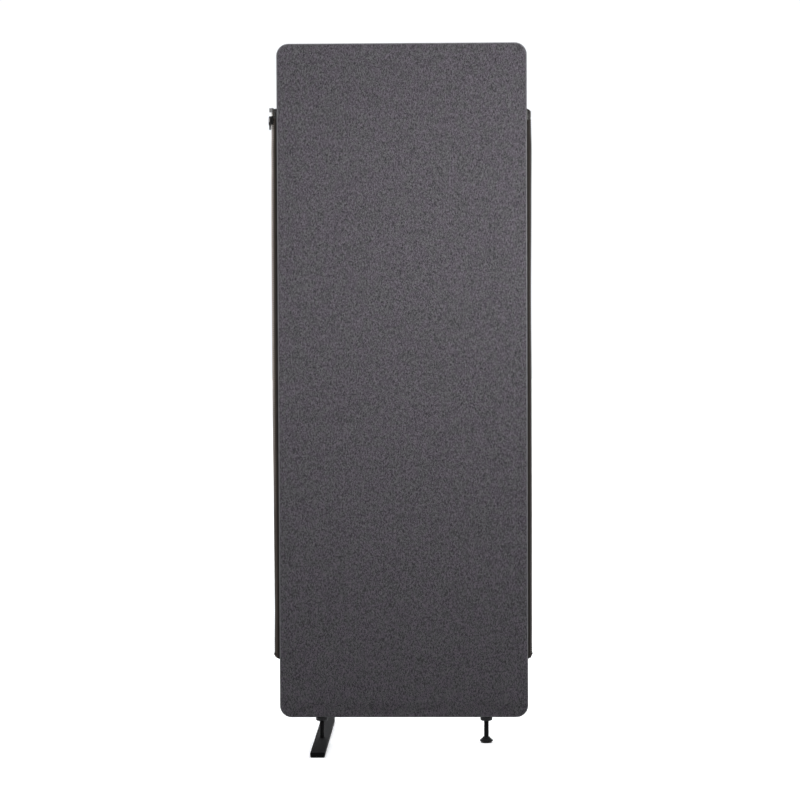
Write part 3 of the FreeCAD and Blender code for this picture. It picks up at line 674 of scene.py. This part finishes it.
def draw_cover():
    rows = rounded_grid(
        HALF_W - SIDE_IN, LOW_Z + SIDE_IN, HIGH_Z - SIDE_IN, CORNER_R - SIDE_IN, 8 * MM, 4
    )
    outline = rim(rows)
    points, faces, marks = [], [], {"stitch": [[], []], "pin": []}
    rows_n, cols_n = len(rows), len(rows[0])

    def spot(r, c, inset):
        x, z, lean_x, lean_z = rows[r][c]
        reach = CORNER_R - SIDE_IN - inset
        return x + lean_x * reach, z + lean_z * reach

    face_y = HALF_T - FACE_IN
    last = []
    for number, side in enumerate((-1, 1)):
        first = len(points)
        for r in range(rows_n):
            for c in range(cols_n):
                x, z = spot(r, c, EDGE_R)
                points.append((x, PANEL_Y + side * face_y, z))
        for r in range(rows_n - 1):
            for c in range(cols_n - 1):
                at = first + r * cols_n + c
                quad = (at, at + 1, at + cols_n + 1, at + cols_n)
                faces.append(quad if side < 0 else quad[::-1])
        ring = [first + r * cols_n + c for r, c in outline]
        for inset, off in edge_rings():
            fresh = []
            for r, c in outline:
                x, z = spot(r, c, inset)
                fresh.append(len(points))
                points.append((x, PANEL_Y + side * off, z))
            for k in range(len(ring)):
                nxt = (k + 1) % len(ring)
                quad = (ring[k], fresh[k], fresh[nxt], ring[nxt])
                faces.append(quad if side < 0 else quad[::-1])
            if off == STITCH_OFF:
                marks["stitch"][number] = fresh
            if off < 1.9 * MM:
                marks["pin"] += fresh
            ring = fresh
        last.append(ring)
    front, back = last
    for k in range(len(front)):
        nxt = (k + 1) % len(front)
        faces.append((front[k], back[k], back[nxt], front[nxt]))
    cover = plain_object("fabric_cover", points, (), faces)
    face_outwards(cover.data)
    shade_smooth(cover.data)
    return cover, marks


fabric_cover, cover_marks = draw_cover()
print("cover has", len(fabric_cover.data.polygons), "faces")


# %% [markdown]
# ## Tension in the cover
#
# Blender's cloth solver fills the shell with air pressure while the seam is held, which is close to what
# springy felt does under a tight cover. Only the outward part of the result is kept, eased into a cap:
# the cloth swells by two millimetres on the faces and by a few tenths on the edge, and it can't sink
# into the boards.


# %% Blow the cover up against its seam
def read_points(mesh):
    flat = np.zeros(len(mesh.vertices) * 3)
    mesh.vertices.foreach_get("co", flat)
    return flat.reshape(-1, 3)


def read_normals(mesh):
    flat = np.zeros(len(mesh.vertices) * 3)
    mesh.vertices.foreach_get("normal", flat)
    return flat.reshape(-1, 3)


def swell(piece, held, face_cap, side_cap):
    mesh = piece.data
    start, outward = read_points(mesh), read_normals(mesh)
    group = piece.vertex_groups.new(name="seam")
    group.add(held, 1.0, "REPLACE")
    cloth = piece.modifiers.new("tension", "CLOTH")
    cloth.settings.quality = 5
    cloth.settings.mass = 0.3
    cloth.settings.tension_stiffness = 25
    cloth.settings.compression_stiffness = 15
    cloth.settings.shear_stiffness = 8
    cloth.settings.bending_stiffness = 4
    cloth.settings.use_pressure = True
    cloth.settings.uniform_pressure_force = 4
    cloth.settings.vertex_group_mass = "seam"
    cloth.settings.effector_weights.gravity = 0
    cloth.collision_settings.use_collision = False
    scene = bpy.context.scene
    for number in range(1, 21):
        scene.frame_set(number)
    view = bpy.context.evaluated_depsgraph_get()
    moved = read_points(piece.evaluated_get(view).data)
    piece.modifiers.remove(cloth)
    piece.vertex_groups.remove(group)
    scene.frame_set(1)
    rise = np.clip(((moved - start) * outward).sum(1), 0, None)
    flatness = outward[:, 1] ** 2
    cap = side_cap + (face_cap - side_cap) * flatness
    eased = cap * np.tanh(rise / cap)
    mesh.vertices.foreach_set("co", (start + outward * eased[:, None]).ravel())
    mesh.update()
    return float(rise.max()), float(eased.max())


free, kept = swell(fabric_cover, cover_marks["pin"], 2.2 * MM, 0.6 * MM)
print("cloth moved", round(free * 1000, 1), "mm freely,", round(kept * 1000, 1), "mm kept")
fabric_cover.data.materials.append(cover_cloth)


# %% [markdown]
# ## Stitches beside the seam
#
# A row of lock stitches holds each half of the cover to the tape. A machine makes them all alike, so
# Geometry Nodes lays one small thread shape along a ring of the cover's own mesh: the ring becomes a
# curve, the curve is resampled at the stitch length, and each point turns the thread along the row and
# away from the panel.


# %% Helpers for Geometry Nodes
def tree_with(name, inputs):
    tree = bpy.data.node_groups.new(name, "GeometryNodeTree")
    tree.interface.new_socket("Geometry", in_out="INPUT", socket_type="NodeSocketGeometry")
    for label, kind in inputs:
        tree.interface.new_socket(label, in_out="INPUT", socket_type=kind)
    tree.interface.new_socket("Geometry", in_out="OUTPUT", socket_type="NodeSocketGeometry")
    return tree, tree.nodes.new("NodeGroupInput"), tree.nodes.new("NodeGroupOutput")


def step_in(tree, kind, settings=None, sockets=None):
    """Adds a node, sets it up, and links or fills its inputs by name or number."""
    made = tree.nodes.new(kind)
    for name, value in (settings or {}).items():
        setattr(made, name, value)
    for name, value in (sockets or {}).items():
        slot = made.inputs[name]
        if isinstance(value, bpy.types.NodeSocket):
            tree.links.new(value, slot)
        else:
            slot.default_value = value
    return made


def finish_tree(tree, geometry, given, end):
    real = step_in(tree, "GeometryNodeRealizeInstances", None, {0: geometry})
    sockets = {"Geometry": real.outputs[0], "Material": given.outputs["Finish"]}
    coated = step_in(tree, "GeometryNodeSetMaterial", None, sockets)
    tree.links.new(coated.outputs[0], end.inputs[0])


def grown(piece, tree, values, name):
    """Runs a tree on a piece and returns the result as a plain mesh object."""
    modifier = piece.modifiers.new(tree.name, "NODES")
    modifier.node_group = tree
    for item in tree.interface.items_tree:
        if item.item_type == "SOCKET" and item.in_out == "INPUT" and item.name in values:
            modifier[item.identifier] = values[item.name]
    bpy.context.view_layer.update()
    view = bpy.context.evaluated_depsgraph_get()
    mesh = bpy.data.meshes.new_from_object(piece.evaluated_get(view), depsgraph=view)
    mesh.name = name
    made = bpy.data.objects.new(name, mesh)
    bpy.context.scene.collection.objects.link(made)
    piece.modifiers.remove(modifier)
    bpy.data.objects.remove(piece)
    return made


print("node helpers ready")


# %% The stitch tree
def stitch_tree():
    tree, given, end = tree_with(
        "stitch_row",
        [
            ("Stitch", "NodeSocketObject"),
            ("Stitch Length", "NodeSocketFloat"),
            ("Finish", "NodeSocketMaterial"),
        ],
    )
    curve = step_in(tree, "GeometryNodeMeshToCurve", None, {"Mesh": given.outputs["Geometry"]})
    spots = step_in(
        tree,
        "GeometryNodeCurveToPoints",
        {"mode": "LENGTH"},
        {"Curve": curve.outputs[0], "Length": given.outputs["Stitch Length"]},
    )
    tangent = spots.outputs["Tangent"]
    away = step_in(tree, "ShaderNodeVectorMath", {"operation": "CROSS_PRODUCT"}, {0: tangent, 1: (0, 1, 0)})
    along = step_in(tree, "FunctionNodeAlignRotationToVector", {"axis": "X"}, {"Vector": tangent})
    turned = step_in(
        tree,
        "FunctionNodeAlignRotationToVector",
        {"axis": "Z", "pivot_axis": "X"},
        {"Rotation": along.outputs[0], "Vector": away.outputs[0]},
    )
    thread = step_in(tree, "GeometryNodeObjectInfo", None, {"Object": given.outputs["Stitch"]})
    laid = step_in(
        tree,
        "GeometryNodeInstanceOnPoints",
        None,
        {"Points": spots.outputs[0], "Instance": thread.outputs["Geometry"], "Rotation": turned.outputs[0]},
    )
    finish_tree(tree, laid.outputs[0], given, end)
    return tree


def one_stitch(length, radius):
    """A short thread that dips into the cloth at both ends: five rings of four points."""
    points, faces = [], []
    for k in range(5):
        t = k / 4
        x = (t - 0.5) * length
        lift = math.sin(math.pi * t) * radius * 1.5 - radius * 0.7
        size = radius * (0.55 + 0.45 * math.sin(math.pi * t))
        for turn in (0, 90, 180, 270):
            a = math.radians(turn + 45)
            points.append((x, math.cos(a) * size, lift + math.sin(a) * size))
    for k in range(4):
        for j in range(4):
            a, b = k * 4 + j, k * 4 + (j + 1) % 4
            faces.append((a, a + 4, b + 4, b))
    faces += [(0, 1, 2, 3), (19, 18, 17, 16)]
    return plain_object("one_stitch", points, (), faces)


STITCH_PITCH = 4 * MM
thread_grey = felt("stitch_thread", (0.02, 0.019, 0.02), (0.05, 0.048, 0.05), 3000)
stitches = stitch_tree()
thread_shape = one_stitch(3.1 * MM, 0.32 * MM)
cover_points = [v.co.copy() for v in fabric_cover.data.vertices]
stitch_rows = []
for word, ring in zip(("front", "rear"), cover_marks["stitch"]):
    loop = [cover_points[k] for k in ring]
    path = plain_object("path", loop, [(k, (k + 1) % len(loop)) for k in range(len(loop))])
    values = {"Stitch": thread_shape, "Stitch Length": STITCH_PITCH, "Finish": thread_grey}
    stitch_rows.append(grown(path, stitches, values, "stitch_row_" + word))
    print("stitch row", word, len(stitch_rows[-1].data.polygons), "faces")
bpy.data.objects.remove(thread_shape)

# %% [markdown]
# ## Zipper tapes
#
# Each tape leaves the seam straight and curls back over its first eight millimetres, because the teeth
# stiffen its edge and the cover pulls on its root. The left one curls less than the right one. A tape
# is one closed strip: a ring of points round its section, repeated down its length, with a soft ripple
# where the tape is free, a thicker corded edge, and the taper that runs back into the seam at the
# lower end.


# %% Where a point of a tape is
def on_tape(side, along, behind):
    """(x, y) of the point that far along the tape from the seam, and that far behind its middle."""
    turn = TAPE_TURN[side]
    radius = TAPE_CURL / turn
    if along < 0:
        return SIGN[side] * (HALF_W + along), PANEL_Y + behind
    a = min(along, TAPE_CURL) / radius
    x = math.sin(a) * (radius - behind)
    y = PANEL_Y + radius - math.cos(a) * (radius - behind)
    over = max(0.0, along - TAPE_CURL)
    return SIGN[side] * (HALF_W + x + math.cos(a) * over), y + math.sin(a) * over


def tape_section():
    """(along, half thickness) across the tape, root to corded edge."""
    body = [(-3.0, 0.4), (-1.0, 0.4), (0.0, 0.38), (1.2, 0.33), (2.6, 0.31), (4.0, 0.3), (5.4, 0.3)]
    body += [(6.8, 0.3), (8.2, 0.3), (9.4, 0.31), (10.6, 0.32), (11.8, 0.34), (12.8, 0.42), (13.4, 0.5)]
    body += [(13.9, 0.4), (14.1, 0.14)]
    return [(s * MM, t * MM) for s, t in body]


print("tape section has", len(tape_section()), "points a side")


# %% [markdown]
# A zipper tape is never quite straight: where nothing holds it, it leans in and out by a millimetre or
# two. The lean is set at a few heights, in metres above the floor and millimetres outwards.

# %% How the tapes sway
SWAY = {
    "left": [
        (0, 0.0), (0.24, 0.0), (0.32, -0.9), (0.58, 0.1), (0.82, 1.75), (1.2, 1.9), (1.42, 0.9),
        (1.475, 0.0), (2, 0.0),
    ],
    "right": [
        (0, 0.0), (0.3, 0.0), (0.58, 0.5), (0.82, 0.4), (1.06, -0.8), (1.3, 0.5), (1.42, 1.3),
        (1.497, 0.0), (2, 0.0),
    ],
}


def sway(side, z):
    """How far the free edge leans outwards at this height, in metres: smooth between a few points."""
    marks = SWAY[side]
    for (z0, d0), (z1, d1) in zip(marks, marks[1:]):
        if z <= z1:
            t = (z - z0) / (z1 - z0)
            return (d0 + (d1 - d0) * t * t * (3 - 2 * t)) * MM
    return 0.0


print("left tape leans", round(sway("left", 1.0) / MM, 2), "mm outwards at one metre")


# %% Build the two tapes
TAPE_STEP = 3.0 * MM
TAPE_TAPER = 8.0 * MM
TAPE_SLANT = {"left": 0.4 * MM, "right": 5.0 * MM}  # how far the cut top end drops towards the teeth
HELD_TOP = 24 * MM  # the film keeps this much of the tape flat
RIPPLE_FADE = 30 * MM


def ripple(side, z, reach, high):
    """The soft wave in the free middle of a tape, in metres."""
    free = math.exp(-(((reach / MM) - 4.2) / 2.2) ** 2)
    free *= min(1.0, max(0.0, high - z - HELD_TOP) / RIPPLE_FADE)
    wave = 0.26 * math.sin(z * 61 + 1.3) + 0.14 * math.sin(z * 173 + (2 if side == "left" else 5))
    return wave * free * MM


def build_tape(side):
    low, high = (p.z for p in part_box("zip_tape_" + side))
    section = tape_section()
    ring = [(s, -t) for s, t in section] + [(s, t) for s, t in reversed(section)]
    levels = sorted(set(steps(low, low + 12 * MM, 0.8 * MM) + steps(low + 12 * MM, high, TAPE_STEP)))
    points, faces, uvs = [], [], []
    for z in levels:
        rise = min(1.0, (z - low) / TAPE_TAPER)
        share = 0.06 + 0.94 * math.sin(rise * math.pi / 2) ** 0.8
        for s, off in ring:
            reach = s * share if s > 0 else s
            x, y = on_tape(side, reach, off + ripple(side, z, reach, high))
            near_top = max(0.0, 1 - (high - z) / (14 * MM))
            drop = TAPE_SLANT[side] * near_top * max(0.0, s) / TAPE_W
            lean = SIGN[side] * sway(side, z) * min(1.0, max(0.0, reach / TAPE_CURL)) ** 1.5
            points.append((x + lean, y, z - drop))
            uvs.append((reach, z))
    count = len(ring)
    for r in range(len(levels) - 1):
        for k in range(count):
            a, b = r * count + k, r * count + (k + 1) % count
            faces.append((a, b, b + count, a + count))
    top = (len(levels) - 1) * count
    faces.append(tuple(range(count))[::-1])
    faces.append(tuple(top + k for k in range(count)))
    tape = plain_object("tape_" + side, points, (), faces)
    layer = tape.data.uv_layers.new(name="UVMap")
    for corner in tape.data.loops:
        layer.data[corner.index].uv = uvs[corner.vertex_index]
    face_outwards(tape.data)
    shade_smooth(tape.data)
    tape.data.materials.append(tape_painted_lit if side == "left" else tape_black)
    return tape


tapes = {side: build_tape(side) for side in ("left", "right")}
for side, tape in tapes.items():
    print("tape", side, len(tape.data.polygons), "faces")

# %% [markdown]
# ## Zipper teeth
#
# Metal teeth are clamped one by one on the tape's corded edge. One tooth has two thin legs that grip
# the cord, a narrower neck, and a head that fits between the next two. It is drawn once as an outline
# with bevelled rims, set on the tape's straight part, and Geometry Nodes repeats it down the tape at
# the zipper's pitch.


# %% One tooth
TOOTH_PITCH = 5.0 * MM
TOOTH_HALF = [  # (from the seam, half height) in mm, legs first and head last
    (7.9, 0.8), (9.55, 1.15), (9.9, 1.35), (12.1, 1.5), (12.6, 1.15), (13.1, 1.15), (13.5, 1.6),
    (14.5, 1.55), (14.9, 0.8),
]
TOOTH_MIDDLE = 12.0
TOOTH_LAYERS = [(-1.7, 0.86), (-1.35, 1.0), (1.35, 1.0), (1.7, 0.86)]  # (off the tape, size)
LEG_END = 9.7  # nearer to the seam than this, the tooth is only its two thin legs


def on_teeth(side, along, off):
    """(x, y) in the plane of the straight part of a tape."""
    x0, y0 = on_tape(side, TAPE_CURL, off)
    over = along - TAPE_CURL
    turn = TAPE_TURN[side]
    return x0 + SIGN[side] * math.cos(turn) * over, y0 + math.sin(turn) * over


def one_tooth(side, z):
    outline = TOOTH_HALF + [(s, -h) for s, h in reversed(TOOTH_HALF)]
    points, faces = [], []
    for off, shrink in TOOTH_LAYERS:
        for s, h in outline:
            along = TOOTH_MIDDLE + (s - TOOTH_MIDDLE) * shrink
            thin = off if s > LEG_END else math.copysign(min(abs(off), 0.55 + shrink * 0.25), off)
            x, y = on_teeth(side, along * MM, thin * MM)
            points.append((x, y, z + h * shrink * MM))
    n = len(outline)
    for r in range(len(TOOTH_LAYERS) - 1):
        for k in range(n):
            a, b = r * n + k, r * n + (k + 1) % n
            faces.append((a, b, b + n, a + n))
    faces += [tuple(range(n))[::-1], tuple(3 * n + k for k in range(n))]
    tooth = plain_object("one_tooth", points, (), faces)
    face_outwards(tooth.data)
    return tooth


print("a tooth is drawn on", len(TOOTH_HALF) * 2, "outline points")


# %% Repeat the tooth
def column_tree():
    tree, given, end = tree_with(
        "tooth_column",
        [("Count", "NodeSocketInt"), ("Pitch", "NodeSocketFloat"), ("Finish", "NodeSocketMaterial")],
    )
    rise = step_in(tree, "ShaderNodeCombineXYZ", None, {"Z": given.outputs["Pitch"]})
    line = step_in(
        tree,
        "GeometryNodeMeshLine",
        {"mode": "OFFSET"},
        {"Count": given.outputs["Count"], "Offset": rise.outputs[0]},
    )
    column = step_in(
        tree,
        "GeometryNodeInstanceOnPoints",
        None,
        {"Points": line.outputs[0], "Instance": given.outputs["Geometry"]},
    )
    finish_tree(tree, column.outputs[0], given, end)
    return tree


columns_of_teeth = column_tree()
tooth_columns = {}
for side in ("left", "right"):
    low, high = (p.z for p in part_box("zip_teeth_" + side))
    first = low + FIRST_TOOTH
    count = int((high - low - 2 * FIRST_TOOTH) / TOOTH_PITCH) + 1
    tooth = one_tooth(side, first)
    brass = tooth_painted_lit if side == "left" else tooth_brown
    values = {"Count": count, "Pitch": TOOTH_PITCH, "Finish": brass}
    tooth_columns[side] = grown(tooth, columns_of_teeth, values, "tooth_column_" + side)
    for point in tooth_columns[side].data.vertices:
        nearest = round((point.co.z - first) / TOOTH_PITCH) * TOOTH_PITCH + first
        point.co.x += SIGN[side] * sway(side, nearest)
    print("teeth", side, count, "of", len(tooth_columns[side].data.polygons), "faces in all")

# %% [markdown]
# ## Threaded stems
#
# The stems are metric threaded rod with a coarse pitch, so that each foot can be levelled. A thread is a
# ridge that climbs one pitch in each turn: the radius depends on height and angle together. A grid of
# points round the rod, with its radius read from that rule, gives a true helix with closed ends.


# %% Thread a stem
THREAD_PITCH = 1.75 * MM
THREAD_DEPTH = 0.72 * MM
STEM_R = 6.0 * MM
HEAD_R, HEAD_H = 9.0 * MM, 3.0 * MM
HEAD_EDGE = 0.4 * MM
HEAD_AROUND = 32


def threaded_stem(name, x0, low, high, radius, head=None):
    """A threaded rod; head is the height of the lower side of its flat round head, if it has one."""
    around, per_turn = 24, 8
    levels = steps(low, high, THREAD_PITCH / per_turn)
    points, faces = [], []
    for z in levels:
        fade = min(1.0, (z - low) / THREAD_PITCH, (high - z) / THREAD_PITCH)
        for k in range(around):
            turn = 2 * math.pi * k / around
            phase = (z / THREAD_PITCH - k / around) % 1.0
            ridge = abs(phase * 2 - 1)
            crest = min(1.0, ridge * 1.25) * fade
            r = radius - THREAD_DEPTH * (1 - crest)
            points.append((x0 + r * math.cos(turn), PANEL_Y + r * math.sin(turn), z))
    for row in range(len(levels) - 1):
        for k in range(around):
            a, b = row * around + k, row * around + (k + 1) % around
            faces.append((a, b, b + around, a + around))
    top = (len(levels) - 1) * around
    faces += [tuple(range(around))[::-1], tuple(top + k for k in range(around))]
    if head is not None:
        base, n = len(points), HEAD_AROUND
        head_rings = ((HEAD_R - HEAD_EDGE, head), (HEAD_R, head + HEAD_EDGE), (HEAD_R, head + HEAD_H))
        for r, z in head_rings:
            for k in range(n):
                turn = 2 * math.pi * k / n
                points.append((x0 + r * math.cos(turn), PANEL_Y + r * math.sin(turn), z))
        for row in range(2):
            for k in range(n):
                a, b = base + row * n + k, base + row * n + (k + 1) % n
                faces.append((a, b, b + n, a + n))
        faces += [tuple(base + k for k in range(n))[::-1], tuple(base + 2 * n + k for k in range(n))]
    stem = plain_object(name, points, (), faces)
    for face in stem.data.polygons:
        face.use_smooth = len(face.vertices) == 4
    stem.data.materials.append(stem_black)
    return stem


stems = {}
for cad_name, name in (("foot_stem", "foot_stem_thread"), ("glide_stem", "glide_stem_thread")):
    low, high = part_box(cad_name)
    middle = (low.x + high.x) / 2
    if cad_name == "foot_stem":
        start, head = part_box("foot_bar")[1].z, None
    else:
        start, head = low.z + HEAD_H - 0.1 * MM, low.z
    stems[cad_name] = threaded_stem(name, middle, start, high.z, STEM_R, head)
    print(name, len(stems[cad_name].data.polygons), "faces")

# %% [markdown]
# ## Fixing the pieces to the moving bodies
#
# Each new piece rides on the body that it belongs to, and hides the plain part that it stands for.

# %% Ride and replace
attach(fabric_cover, "panel")
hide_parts("cover_front", "cover_rear")
for row in stitch_rows:
    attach(row, "panel")
for side in ("left", "right"):
    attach(tapes[side], "panel")
    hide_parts("zip_tape_" + side)
    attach(tooth_columns[side], "panel")
    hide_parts("zip_teeth_" + side)
for cad_name, body in (("foot_stem", "foot"), ("glide_stem", "glide_screw")):
    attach(stems[cad_name], body)
    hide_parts(cad_name)
pieces = [fabric_cover, *stitch_rows, *tapes.values(), *tooth_columns.values(), *stems.values()]
print(len(pieces), "pieces fixed to their bodies")
